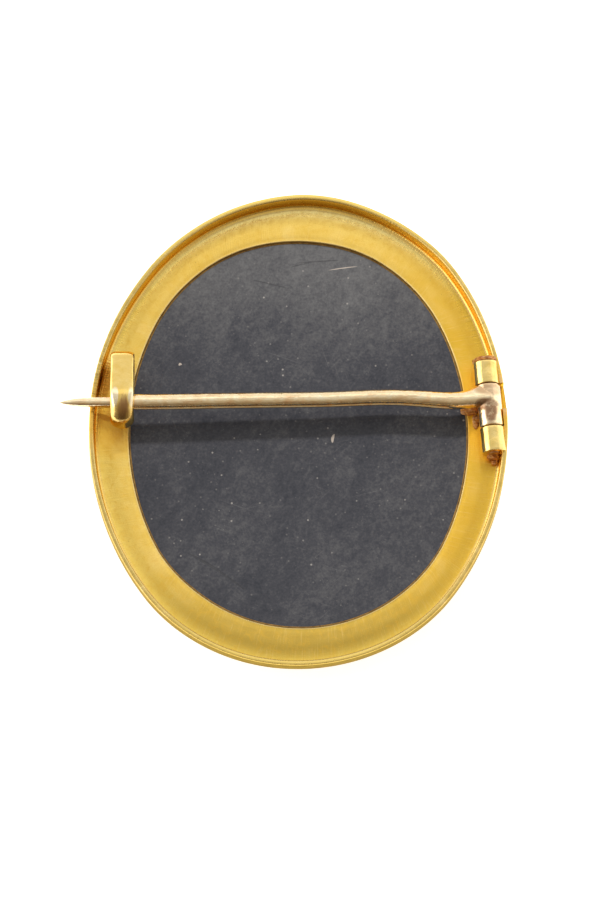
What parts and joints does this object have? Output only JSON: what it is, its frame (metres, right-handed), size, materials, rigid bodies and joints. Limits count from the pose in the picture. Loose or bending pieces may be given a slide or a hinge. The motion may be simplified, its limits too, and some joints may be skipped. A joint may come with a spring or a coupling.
{
  "type": "oval cameo brooch",
  "caption": "Oval cameo brooch lying face down: carved stone in a gold frame with a dished back flange, hinged pin and C-catch.",
  "frame": {"origin": "centre of the oval on the plane of the bezel's front rim, which the brooch lies on", "axes": "+Z points to the brooch's back, where the pin is; +Y runs along the oval's long axis; +X points to the hinge as seen from the back"},
  "size_m": [0.0359, 0.0396, 0.0075],
  "materials": {
    "gold": "satin yellow gold",
    "stone": "honed dark hardstone, white relief layer on the front",
    "rose_gold": "polished and worn rose gold",
    "rivet_gold": "dull rose gold"
  },
  "bodies": {
    "brooch": {"setting": "gold", "cameo_stone": "stone", "hinge_rivet": "rivet_gold"},
    "pin": {"pin_stem": "rose_gold"}
  },
  "joints": [
    {"name": "pin_hinge", "type": "hinge", "parent": "brooch", "child": "pin", "pos_m": [0.01531, 0.00182, 0.00535], "axis": [-0.0936, 0.9956, 0], "range_deg": [0, 110]}
  ]
}
